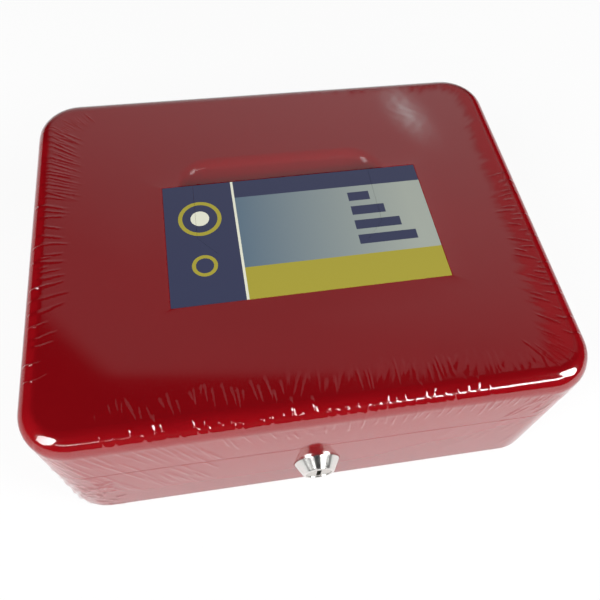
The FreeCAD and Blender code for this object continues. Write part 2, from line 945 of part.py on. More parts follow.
def make_key(slot):
    """A flat key lying on the floor of the left-hand bin."""
    blade_start = key_bow_length / 2 - key_hole / 2
    bow = rounded_prism(
        -key_bow_width / 2,
        key_bow_width / 2,
        -key_bow_length / 2,
        key_bow_length / 2,
        0,
        key_sheet,
        key_bow_radius,
    )
    blade = block(
        -key_blade_width / 2,
        key_blade_width / 2,
        blade_start,
        key_bow_length / 2 + key_blade_length,
        0,
        key_sheet,
    )
    key = joined([bow, blade])
    tip = [
        edge
        for edge in upright_edges(key)
        if edge.BoundBox.YMin > key_bow_length / 2 + key_blade_length - sheet
    ]
    key = key.makeFillet(key_tip_radius, tip)
    pitch = key_blade_length / (len(key_cut_depths) + 2)
    cuts = [rod_z(key_hole / 2, -sheet, key_sheet + sheet, 0, -key_bow_length / 2 + key_hole)]
    for k, depth in enumerate(key_cut_depths):
        y0 = key_bow_length / 2 + pitch * (k + 1)
        cuts.append(
            block(
                key_blade_width / 2 - depth,
                key_blade_width,
                y0,
                y0 + key_cut_width,
                -sheet,
                key_sheet + sheet,
            )
        )
    key = key.cut(Part.makeCompound(cuts))
    bin_middle_x = -wells_half_width + bin_width / 2
    bin_middle_y = (-tray_row_split + tray_wall + wells_back_y) / 2
    key.rotate(Vector(0, 0, 0), Vector(0, 0, 1), key_turn_deg * (1 - 2 * slot))
    side_x = key_spacing * (slot - 0.5)
    key.translate(Vector(bin_middle_x + side_x, bin_middle_y - key_bow_length / 2, well_floor_z))
    return key


# Printed card


def card_plate():
    """The whole card, laid flat on the lid over the front of the recess."""
    plate = block(
        -card_width / 2, card_width / 2, -card_length / 2, card_length / 2, case_height, card_top_z
    )
    plate.rotate(Vector(0, 0, 0), Vector(0, 0, 1), card_turn_deg)
    plate.translate(Vector(card_shift_x, card_shift_y, 0))
    return plate


def flap_form(grow):
    """The outline of the flap over the handle, widened at its free sides by a slit."""
    wide = flap_half_width + grow
    narrow = wide - flap_taper_inset
    corners = [
        Vector(-narrow, flap_fold_y, case_height),
        Vector(narrow, flap_fold_y, case_height),
        Vector(wide, flap_taper_y, case_height),
        Vector(wide, half_depth, case_height),
        Vector(-wide, half_depth, case_height),
        Vector(-wide, flap_taper_y, case_height),
    ]
    return Part.Face(Part.makePolygon(corners + corners[:1])).extrude(Vector(0, 0, card_sheet))


def make_parts():
    """Every piece of the box, by node name."""
    ledge = make_tray_ledge()
    base_leaf = make_hinge_leaf(False)
    lid_leaf = make_hinge_leaf(True)
    pin = make_hinge_pin()
    clip = make_handle_clip()
    return {
        "base_shell": make_base_shell(),
        "tray_ledge_left": mirrored(ledge),
        "tray_ledge_right": ledge,
        "base_hinge_leaf_left": mirrored(base_leaf),
        "base_hinge_leaf_right": base_leaf,
        "base_hinge_rivets": make_hinge_rivets(hinge_axis_z - hinge_rivet_drop),
        "hinge_pin_left": mirrored(pin),
        "hinge_pin_right": pin,
        "lock_barrel": make_lock_barrel(),
        "lock_washer": make_lock_washer(),
        "lock_nut": make_lock_nut(),
        "lock_plug": make_lock_plug(),
        "lock_wafers": make_lock_wafers(),
        "lock_cam": make_lock_cam(),
        "cam_washer": make_cam_washer(),
        "cam_screw": make_cam_screw(),
        "lid_shell": make_lid_shell(),
        "lid_hinge_leaf_left": mirrored(lid_leaf),
        "lid_hinge_leaf_right": lid_leaf,
        "lid_hinge_rivets": make_hinge_rivets(hinge_axis_z + hinge_rivet_drop),
        "strike_bracket": make_strike_bracket(),
        "handle_clip_left": mirrored(clip),
        "handle_clip_right": clip,
        "handle_clip_rivets": make_clip_rivets(),
        "handle_bail": make_handle_bail(),
        "card_frame": card_plate().cut(flap_form(card_slit)),
        "card_flap": card_plate().common(flap_form(0)),
        "coin_tray": make_coin_tray(),
        "key_first": make_key(0),
        "key_second": make_key(1),
    }


os.makedirs("parts", exist_ok=True)
for name, shape in make_parts().items():
    shape.exportStep(os.path.join("parts", name + ".step"))
    state = "" if shape.isValid() else "  not valid"
    print(f"{name:24s} solids {len(shape.Solids):2d}  volume {shape.Volume:10.1f}{state}")
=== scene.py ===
import math
import random

import bpy
import numpy as np
from mathutils import Matrix, Vector


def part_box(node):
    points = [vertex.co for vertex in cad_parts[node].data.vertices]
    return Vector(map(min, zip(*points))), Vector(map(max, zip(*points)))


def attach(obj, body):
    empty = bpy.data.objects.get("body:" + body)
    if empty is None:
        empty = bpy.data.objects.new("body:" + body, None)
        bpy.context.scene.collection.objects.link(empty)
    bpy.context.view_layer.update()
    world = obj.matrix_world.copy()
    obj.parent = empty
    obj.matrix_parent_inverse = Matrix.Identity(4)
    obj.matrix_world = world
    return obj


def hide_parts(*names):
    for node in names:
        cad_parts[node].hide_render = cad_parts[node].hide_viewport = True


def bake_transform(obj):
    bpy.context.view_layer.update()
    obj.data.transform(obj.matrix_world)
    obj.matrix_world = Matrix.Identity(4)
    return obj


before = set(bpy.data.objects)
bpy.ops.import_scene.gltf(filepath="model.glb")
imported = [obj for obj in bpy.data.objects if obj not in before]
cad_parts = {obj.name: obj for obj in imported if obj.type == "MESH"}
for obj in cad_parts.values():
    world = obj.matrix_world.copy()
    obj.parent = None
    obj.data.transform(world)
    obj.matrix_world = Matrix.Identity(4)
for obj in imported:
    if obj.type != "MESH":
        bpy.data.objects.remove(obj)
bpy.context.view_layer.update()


# Base pan. A deep-drawn steel pan with a shelf and an upright rim at the seam.
# It is sprayed and stoved in red enamel inside and out, so the gloss has a fine orange peel.


class Value:
    """A shader socket that sums in Python can use: each sum adds its Math node."""

    def __init__(self, finish, socket):
        self.finish = finish
        self.socket = socket

    def combine(self, operation, first, second):
        return self.finish.node("Math", {"operation": operation}, {0: first, 1: second})

    def __add__(self, other):
        return self.combine("ADD", self, other)

    def __sub__(self, other):
        return self.combine("SUBTRACT", self, other)

    def __rsub__(self, other):
        return self.combine("SUBTRACT", other, self)

    def __mul__(self, other):
        return self.combine("MULTIPLY", self, other)

    def __gt__(self, other):
        return self.combine("GREATER_THAN", self, other)

    def __lt__(self, other):
        return self.combine("LESS_THAN", self, other)

    __radd__ = __add__
    __rmul__ = __mul__


class Finish:
    """The node tree of one material, or of the world, built node by node."""

    def __init__(self, name, owner=None):
        self.owner = owner or bpy.data.materials.new(name)
        self.owner.use_nodes = True
        self.tree = self.owner.node_tree
        self.tree.nodes.clear()

    def node(self, kind, settings=None, sockets=None, out=0):
        made = self.tree.nodes.new("ShaderNode" + kind)
        for name, value in (settings or {}).items():
            setattr(made, name, value)
        for name, value in (sockets or {}).items():
            if isinstance(value, Value):
                self.tree.links.new(value.socket, made.inputs[name])
            else:
                made.inputs[name].default_value = value
        return Value(self, made.outputs[out]) if made.outputs else None

    def place(self):
        """Where a point lies on the object, in metres."""
        return self.node("TexCoord", out="Object")

    def noise(self, place, scale, detail):
        return self.node("TexNoise", {}, {"Vector": place, "Scale": scale, "Detail": detail})

    def stretch(self, place, scale):
        return self.node("VectorMath", {"operation": "MULTIPLY"}, {0: place, 1: scale})

    def mix(self, factor, first, second):
        """A colour between two colours."""
        return self.node(
            "Mix", {"data_type": "RGBA"}, {0: factor, 6: self.opaque(first), 7: self.opaque(second)}, out=2
        )

    def opaque(self, colour):
        return colour if isinstance(colour, Value) else (*colour, 1.0)

    def bump(self, height, depth, strength):
        return self.node("Bump", {}, {"Height": height, "Distance": depth, "Strength": strength})

    def clamp(self, value, low=0.0, high=1.0):
        return self.node("Clamp", {}, {0: value, "Min": low, "Max": high})

    def larger(self, first, second):
        return self.node("Math", {"operation": "MAXIMUM"}, {0: first, 1: second})

    def surface(self, sockets):
        """One Principled shader, shown as the surface."""
        return self.show(self.node("BsdfPrincipled", {}, sockets))

    def show(self, shader):
        self.node("OutputMaterial", {}, {"Surface": shader})
        return self.owner


def dress(material, *nodes):
    """Gives CAD nodes their finish."""
    for name in nodes:
        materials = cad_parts[name].data.materials
        materials.clear()
        materials.append(material)


def red_enamel():
    finish = Finish("red_enamel")
    place = finish.place()
    cloud = finish.noise(place, 14.0, 3.0)
    peel = finish.noise(place, 620.0, 1.0)
    colour = finish.mix(cloud, (0.225, 0.0028, 0.0055), (0.26, 0.0036, 0.0068))
    return finish.surface(
        {
            "Base Color": colour,
            "Roughness": 0.09 + 0.06 * cloud,
            "Specular IOR Level": 0.25,
            "Normal": finish.bump(peel, 0.000005, 0.5),
        }
    )


enamel = red_enamel()
dress(enamel, "base_shell")


# Tray ledges. Two folded angle strips of zinc-plated sheet, spot-welded to the side walls.
# The plating is dull and slightly spangled, with fine rolling marks along the strip.


def zinc_plate():
    finish = Finish("zinc_plate")
    place = finish.place()
    spangle = finish.node("TexVoronoi", {}, {"Vector": place, "Scale": 320.0}, out="Color")
    grey = finish.node("SeparateColor", {}, {0: spangle})
    marks = finish.noise(finish.stretch(place, (60.0, 900.0, 900.0)), 1.0, 3.0)
    return finish.surface(
        {
            "Base Color": finish.mix(grey, (0.5, 0.51, 0.53), (0.62, 0.63, 0.65)),
            "Metallic": 1.0,
            "Roughness": 0.3 + 0.16 * marks,
            "Normal": finish.bump(marks, 0.00004, 0.35),
        }
    )


zinc = zinc_plate()
dress(zinc, "tray_ledge_left", "tray_ledge_right")


# Hinges. Two rolled barrel hinges riveted inside the back walls, on steel pins with peened heads.
# The leaves are zinc-plated, the pins and rivets bright drawn steel with hammer-dulled heads.


def bright_steel():
    finish = Finish("bright_steel")
    place = finish.place()
    dints = finish.noise(place, 900.0, 2.0)
    stain = finish.noise(place, 130.0, 3.0)
    return finish.surface(
        {
            "Base Color": finish.mix(stain, (0.55, 0.55, 0.56), (0.7, 0.7, 0.7)),
            "Metallic": 1.0,
            "Roughness": 0.18 + 0.22 * dints,
            "Normal": finish.bump(dints, 0.00006, 0.4),
        }
    )


steel = bright_steel()
for side in ("left", "right"):
    dress(zinc, "base_hinge_leaf_" + side, "lid_hinge_leaf_" + side)
    dress(steel, "hinge_pin_" + side)
dress(steel, "base_hinge_rivets", "lid_hinge_rivets")


# Lock housing, nut and washer. The housing is a turned and nickel-plated cone on the front wall.
# It is polished, with faint turning rings about its own axis, and a nut clamps it from inside.

lock_low, lock_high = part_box("lock_barrel")
lock_centre = (lock_low + lock_high) / 2
lock_radius = (lock_high.z - lock_low.z) / 2


def lock_rings(finish, pitch):
    """Turning rings about the lock's axis, from 0 to 1."""
    from_axis = finish.node(
        "VectorMath", {"operation": "SUBTRACT"}, {0: finish.place(), 1: tuple(lock_centre)}
    )
    flat = finish.stretch(from_axis, (1.0, 0.0, 1.0))
    radius = finish.node("VectorMath", {"operation": "LENGTH"}, {0: flat}, out="Value")
    wave = finish.node("Math", {"operation": "SINE"}, {0: radius * (2 * math.pi / pitch)})
    return 0.5 + 0.5 * wave


def lock_nickel():
    finish = Finish("lock_nickel")
    rings = lock_rings(finish, 0.00035)
    haze = finish.noise(finish.place(), 240.0, 3.0)
    return finish.surface(
        {
            "Base Color": finish.mix(haze, (0.66, 0.655, 0.63), (0.8, 0.795, 0.77)),
            "Metallic": 1.0,
            "Roughness": 0.17 + 0.08 * haze,
            "Normal": finish.bump(rings, 0.000008, 0.3),
        }
    )


dress(lock_nickel(), "lock_barrel")
dress(zinc, "lock_washer", "lock_nut")


# Lock plug, wafers and cam. The plug is satin nickel with an open keyway, its wafers are brass,
# and a zinc-plated cam is screwed on its tail inside the box.


def satin_nickel():
    finish = Finish("satin_nickel")
    rings = lock_rings(finish, 0.0005)
    grain = finish.noise(finish.place(), 1400.0, 2.0)
    return finish.surface(
        {
            "Base Color": finish.mix(grain, (0.5, 0.49, 0.46), (0.66, 0.65, 0.61)),
            "Metallic": 1.0,
            "Roughness": 0.2 + 0.12 * grain,
            "Normal": finish.bump(rings, 0.00001, 0.4),
        }
    )


def plain_brass():
    finish = Finish("plain_brass")
    tarnish = finish.noise(finish.place(), 500.0, 3.0)
    return finish.surface(
        {
            "Base Color": finish.mix(tarnish, (0.5, 0.34, 0.12), (0.74, 0.54, 0.24)),
            "Metallic": 1.0,
            "Roughness": 0.25 + 0.2 * tarnish,
        }
    )


dress(satin_nickel(), "lock_plug")
dress(plain_brass(), "lock_wafers")
dress(zinc, "lock_cam", "cam_washer")
dress(steel, "cam_screw")


# Lid. A drawn steel lid in the same red enamel, with the handle recess pressed into its top.
# A zinc-plated strike is spot-welded inside its front wall for the cam to catch.

dress(enamel, "lid_shell")
dress(zinc, "strike_bracket")


# Carrying handle and clips. A bail of round chromed wire, its ends turned in under two saddle clips.
# The clips are chromed strip, riveted through the floor of the recess.


def chrome_plate():
    finish = Finish("chrome_plate")
    haze = finish.noise(finish.place(), 180.0, 3.0)
    return finish.surface(
        {
            "Base Color": finish.mix(haze, (0.72, 0.73, 0.75), (0.8, 0.8, 0.81)),
            "Metallic": 1.0,
            "Roughness": 0.05 + 0.07 * haze,
        }
    )


chrome = chrome_plate()
dress(chrome, "handle_clip_left", "handle_clip_right", "handle_bail")
dress(steel, "handle_clip_rivets")


# Coin tray and keys. The tray is one black moulding with five coin wells and three bins.
# Its faces have a fine spark-eroded grain, and two nickel-plated keys lie in the left bin.


def grained_plastic():
    finish = Finish("grained_plastic")
    place = finish.place()
    grain = finish.noise(place, 1500.0, 2.0)
    cloud = finish.noise(place, 40.0, 2.0)
    return finish.surface(
        {
            "Base Color": finish.mix(cloud, (0.02, 0.02, 0.022), (0.032, 0.032, 0.034)),
            "Roughness": 0.38 + 0.16 * grain,
            "Normal": finish.bump(grain, 0.00008, 0.5),
        }
    )


def key_nickel():
    finish = Finish("key_nickel")
    place = finish.place()
    brush = finish.noise(finish.stretch(place, (1800.0, 120.0, 1800.0)), 1.0, 2.0)
    return finish.surface(
        {
            "Base Color": finish.mix(brush, (0.6, 0.59, 0.55), (0.76, 0.75, 0.71)),
            "Metallic": 1.0,
            "Roughness": 0.16 + 0.2 * brush,
            "Normal": finish.bump(brush, 0.00003, 0.3),
        }
    )


dress(grained_plastic(), "coin_tray")
dress(key_nickel(), "key_first", "key_second")


# Printed card. A sheet of coated card laid over the front of the recess and the lid before it.
# Its middle is slit on three sides, so that a flap lifts with the handle; the print is plain shapes.

card_low, card_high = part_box("card_frame")
flap_low, flap_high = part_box("card_flap")
card_width = 0.131
card_length = 0.0706
card_turn = math.radians(0.7)
card_middle = (card_low + card_high) / 2


def lay_print(mesh):
    """Gives each point of a piece of the card its place on the print, from 0 to 1."""
    unturn = Matrix.Rotation(-card_turn, 3, "Z")
    places = [unturn @ (vertex.co - card_middle) for vertex in mesh.vertices]
    layer = mesh.uv_layers.new(name="print")
    for loop in mesh.loops:
        place = places[loop.vertex_index]
        layer.data[loop.index].uv = (place.x / card_width + 0.5, place.y / card_length + 0.5)


def printed_card():
    finish = Finish("printed_card")
    spot = finish.node("UVMap", {"uv_map": "print"})
    spread = finish.node("SeparateXYZ", {}, {0: spot}, out="X")
    rise = Value(finish, spread.socket.node.outputs["Y"])
    across = spread * card_width
    up = rise * card_length
    band_top, spine_right, rule_right, heading_low = 0.0175, 0.034, 0.0352, 0.06
    bar_left, bar_right, bar_shortening = 0.092, 0.121, 0.006
    bar_low, bar_pitch, bar_height = 0.0235, 0.009, 0.0055
    navy = (0.013, 0.018, 0.062)
    olive = (0.32, 0.275, 0.015)
    slate = (0.075, 0.125, 0.175)
    pale = (0.30, 0.33, 0.29)
    cream = (0.66, 0.66, 0.54)
    panel = finish.mix(spread * 1.5 - 0.4, slate, pale)
    inked = finish.mix(up > band_top, olive, panel)
    inked = finish.mix(across < spine_right, inked, navy)
    inked = finish.mix((across > spine_right) * (across < rule_right), inked, cream)
    inked = finish.mix((up > heading_low) * (across > rule_right), inked, navy)
    for x, y, outer, inner, ink in (
        (0.017, 0.049, 0.0105, 0.0085, olive),
        (0.017, 0.049, 0.0045, 0.0, cream),
        (0.017, 0.021, 0.006, 0.0042, olive),
    ):
        from_x = across - x
        from_y = up - y
        distance = finish.node("Math", {"operation": "SQRT"}, {0: from_x * from_x + from_y * from_y})
        inked = finish.mix((distance < outer) * ((distance > inner) if inner else 1.0), inked, ink)
    for count in range(4):
        low = bar_low + bar_pitch * count
        wide = (across > bar_left) * (across < bar_right - bar_shortening * count)
        inked = finish.mix(wide * (up > low) * (up < low + bar_height), inked, navy)
    fibre = finish.noise(spot, 900.0, 2.0)
    return finish.surface(
        {
            "Base Color": finish.mix(0.05 * fibre, inked, (0.8, 0.8, 0.8)),
            "Roughness": 0.3 + 0.1 * fibre,
            "Specular IOR Level": 0.4,
            "Normal": finish.bump(fibre, 0.00002, 0.2),
        }
    )


card_print = printed_card()
dress(card_print, "card_frame")
lay_print(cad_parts["card_frame"].data)

flap_taper = 0.0104
flap_taper_inset = 0.0092
flap_slit_share = 0.0002
flap_columns = 24
flap_taper_rows = 8
flap_rows = 34


def flap_point(column, row):
    """A point of the flap: rows run from the fold to the card's back edge, columns from left to right."""
    side = 2 * column / flap_columns - 1
    wide = flap_high.x + flap_slit_share
    taper = min(row / flap_taper_rows, 1.0)
    x = side * (wide - flap_taper_inset * (1 - taper))
    y = flap_low.y + flap_taper * taper
    if row > flap_taper_rows:
        back_edge = card_middle.y + card_length / 2 / math.cos(card_turn)
        back_edge += (x - card_middle.x) * math.tan(card_turn)
        y += (back_edge - y) * (row - flap_taper_rows) / (flap_rows - flap_taper_rows)
    return x, y


def make_flap():
    points, faces = [], []
    columns = flap_columns + 1
    layer = columns * (flap_rows + 1)
    for z in (flap_high.z, flap_low.z):
        for row in range(flap_rows + 1):
            points += [(*flap_point(column, row), z) for column in range(columns)]
    for row in range(flap_rows):
        for column in range(flap_columns):
            a = row * columns + column
            top = (a, a + 1, a + columns + 1, a + columns)
            faces += [top, tuple(corner + layer for corner in reversed(top))]
    rim = list(range(columns))
    rim += [row * columns + flap_columns for row in range(1, flap_rows + 1)]
    rim += [flap_rows * columns + column for column in range(flap_columns - 1, -1, -1)]
    rim += [row * columns for row in range(flap_rows - 1, 0, -1)]
    faces += [(b, a, a + layer, b + layer) for a, b in zip(rim, rim[1:] + rim[:1])]
    mesh = bpy.data.meshes.new("folding_flap")
    mesh.from_pydata(points, [], faces)
    mesh.materials.append(card_print)
    lay_print(mesh)
    made = bpy.data.objects.new("folding_flap", mesh)
    bpy.context.scene.collection.objects.link(made)
    return made


folding_flap = make_flap()
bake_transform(folding_flap)
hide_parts("card_flap")


# Clear film. A skin of heat-shrunk film over the lid, and another round the base, slit at the seam.
# It is taut and glossy, and puckers into fine creases across the edges and gathers at the corners.
# It is cut out round the card, which stands a little higher than the paint, and round the lock.

lid_low, lid_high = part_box("lid_shell")
half_x = lid_high.x
half_y = lid_high.y
corner_radius = 0.022
lid_edge = 0.009
base_edge = 0.005
film_gap = 0.00018
fine_pitch = 0.0003
wide_pitch = 0.0012
film_border = 0.024
border_corner = 0.004
card_margin = 0.0003
seam_slit = 0.0001
straight_x = 2 * (half_x - corner_radius)
straight_y = 2 * (half_y - corner_radius)
quarter = corner_radius * math.pi / 2
corner_starts = [straight_x / 2]
for straight in (straight_y, straight_x, straight_y):
    corner_starts.append(corner_starts[-1] + quarter + straight)
left_start, front_start, right_start = (start + quarter for start in corner_starts[:3])
film_round = corner_starts[3] + quarter + straight_x / 2
chance = random.Random(11)


def outline(along):
    """The case outline from the middle of the back, going left: the middle of its bend, and its normal."""
    core_x, core_y = half_x - corner_radius, half_y - corner_radius
    cores = ((-core_x, core_y), (-core_x, -core_y), (core_x, -core_y), (core_x, core_y))
    for start, core, turn in zip(corner_starts, cores, (90, 180, 270, 0)):
        if along < start:
            normal = Vector((math.cos(math.radians(turn)), math.sin(math.radians(turn)), 0))
            way = Vector((-normal.y, normal.x, 0))
            return Vector((*core, 0)) - way * (start - along), normal
        if along < start + quarter:
            angle = math.radians(turn) + (along - start) / corner_radius
            return Vector((*core, 0)), Vector((math.cos(angle), math.sin(angle), 0))
    return Vector((*cores[3], 0)) - Vector((along - corner_starts[3] - quarter, 0, 0)), Vector((0, 1, 0))


def steps(first, last, fine_spans):
    """Places along the outline, close together where the creases are fine."""
    places = [first]
    while places[-1] < last:
        close = any(low < places[-1] < high for low, high in fine_spans)
        places.append(places[-1] + (fine_pitch if close else wide_pitch))
    return np.array(places[:-1])


def spaced(origin, first, last, low, high):
    """Places along the outline, a chance step apart: all but the origin in mm, first and last from it."""
    places = [first + chance.uniform(0, high)]
    while places[-1] < last:
        places.append(places[-1] + chance.uniform(low, high))
    return [origin + place / 1000 for place in places[:-1]]


def strew(alongs, across, lean_deg, length, width, height):
    """Creases at places along the outline, each drawn from low and high values in mm and degrees."""
    found = []
    for along in alongs:
        drawn = [chance.uniform(*span) for span in (across, length, width, height)]
        found.append((along, math.radians(chance.uniform(*lean_deg)), *(value / 1000 for value in drawn)))
    return found


def creased(alongs, acrosses, creases):
    """How far the film stands off at each point of a grid: each crease is a low tapered ridge."""
    heights = np.zeros(acrosses.shape)
    for along, lean, across, length, width, height in creases:
        first, last = np.searchsorted(alongs, (along - length, along + length))
        ds = alongs[first:last, None] - along
        dt = acrosses[first:last] - across
        lengthwise = (ds * math.sin(lean) + dt * math.cos(lean)) / (length / 2)
        sideways = (ds * math.cos(lean) - dt * math.sin(lean)) / width
        heights[first:last] += height * np.clip(1 - lengthwise**2, 0, 1) * np.exp(-(sideways**2))
    return heights


def clear_film():
    finish = Finish("clear_film")
    painted_reflection = finish.node("Attribute", {"attribute_name": "painted_reflection"}, out="Fac")
    sheen = finish.node("Attribute", {"attribute_name": "sheen"}, out="Fac")
    graze = finish.node("Fresnel", {}, {"IOR": 1.45})
    share = finish.clamp(sheen * (0.05 + 0.75 * graze), 0.0, 0.35)
    gloss = finish.node("BsdfGlossy", {}, {"Color": (1.0, 1.0, 1.0, 1.0), "Roughness": 0.06})
    clear = finish.node("BsdfTransparent", {}, {"Color": (1.0, 1.0, 1.0, 1.0)})
    # A pale diffuse white, mixed in over the puckered patch, is a painted reflection of light off the
    # film.
    white = finish.node("BsdfDiffuse", {}, {"Color": (0.8, 0.78, 0.78, 1.0)})
    skin = finish.node("MixShader", {}, {0: share, 1: clear, 2: gloss})
    return finish.show(finish.node("MixShader", {}, {0: painted_reflection, 1: skin, 2: white}))


film = clear_film()
wall_sheen = 0.72
tight_dulling = 0.75
back_drop = 0.008
pucker_middle = (0.0765, 0.071)
pucker_way = (-0.28, 0.96)
pucker_length = 0.017
pucker_width = 0.0075
ragged_pitch = 0.0015
ragged_spread = 0.0016


def film_mesh(name, points, normals, heights, looks, kept, closed):
    """A skin from a grid of points, pushed out along its normals by the film's gap and its creases."""
    columns, rows = heights.shape
    laid = points + normals * (film_gap + heights)[..., None]
    order = np.arange(columns * rows).reshape(columns, rows)
    ahead = np.roll(order, -1, axis=0)
    whole = np.roll(kept, -1, axis=0) | kept
    whole = whole[:, :-1] | whole[:, 1:]
    faces = np.stack([order[:, :-1], order[:, 1:], ahead[:, 1:], ahead[:, :-1]], axis=-1)
    if not closed:
        faces, whole = faces[:-1], whole[:-1]
    mesh = bpy.data.meshes.new(name)
    mesh.from_pydata(laid.reshape(-1, 3).tolist(), [], faces[whole].tolist())
    for look, values in looks.items():
        values = np.broadcast_to(values, heights.shape).astype(np.float32)
        mesh.attributes.new(look, "FLOAT", "POINT").data.foreach_set("value", values.ravel())
    mesh.polygons.foreach_set("use_smooth", [True] * len(mesh.polygons))
    mesh.materials.append(film)
    made = bpy.data.objects.new(name, mesh)
    bpy.context.scene.collection.objects.link(made)
    return made


fine = (0.06, 0.16)
sharp = (0.12, 0.26)
steep = (0.22, 0.42)
rough = (0.3, 0.6)
narrow, thin, broad = (0.3, 0.5), (0.4, 0.7), (0.7, 1.1)
front_middle = (front_start + corner_starts[2]) / 2
lid_creases = (
    strew(spaced(corner_starts[0], -4, 30, 2.2, 3.6), (-10, -5), (-10, 10), (5, 9), thin, sharp)
    + strew(spaced(corner_starts[0], 30, 80, 1.7, 2.9), (-7, -4), (-14, 2), (15, 23), (0.5, 0.8), sharp)
    + strew(spaced(left_start, 45, 115, 2.5, 7), (-5, 0), (-12, 6), (10, 20), (0.5, 0.8), sharp)
    + strew(spaced(left_start, 70, 152, 3, 8), (-2, 4), (-8, 8), (6, 13), narrow, steep)
    + strew(spaced(front_middle, -98, -55, 1.6, 4.5), (-7, -1), (28, 44), (7, 14), narrow, sharp)
    + strew(spaced(front_middle, -55, -15, 1.6, 4.5), (-8, -2), (8, 24), (7, 14), narrow, sharp)
    + strew(spaced(front_middle, -15, 30, 1.4, 4), (-9, -3), (-24, -4), (8, 17), narrow, sharp)
    + strew(spaced(front_middle, 30, 60, 1.4, 4), (-9, -3), (-34, -14), (8, 16), narrow, sharp)
    + strew(spaced(front_middle, 60, 103, 1.4, 4), (-9, -3), (-46, -28), (8, 16), narrow, fine)
    + strew(spaced(front_middle, -92, -30, 3, 7), (3, 8), (14, 34), (5, 10), thin, steep)
    + strew(spaced(front_middle, -30, 75, 3, 6), (3, 8), (-30, 24), (5, 10), thin, steep)
    + strew(spaced(front_middle, -118, -45, 1.6, 3.2), (14, 40), (16, 25), (16, 34), broad, sharp)
    + strew(spaced(front_middle, -45, 0, 3, 7), (15, 22), (8, 17), (10, 18), thin, steep)
    + strew(spaced(front_middle, 0, 40, 3, 7), (15, 20), (0, 9), (8, 15), thin, steep)
    + strew(spaced(front_middle, 40, 103, 3, 6), (15, 21), (-9, 3), (8, 16), thin, steep)
    + strew(spaced(corner_starts[2], -16, 12, 1.4, 3), (18, 34), (-30, -12), (6, 14), thin, steep)
    + strew(spaced(corner_starts[2], -4, 30, 2, 4.5), (-12, -3), (-15, 15), (6, 12), thin, sharp)
    + strew(spaced(right_start, 0, 100, 2.5, 5), (-8, 3), (-9, 9), (6, 14), thin, sharp)
)


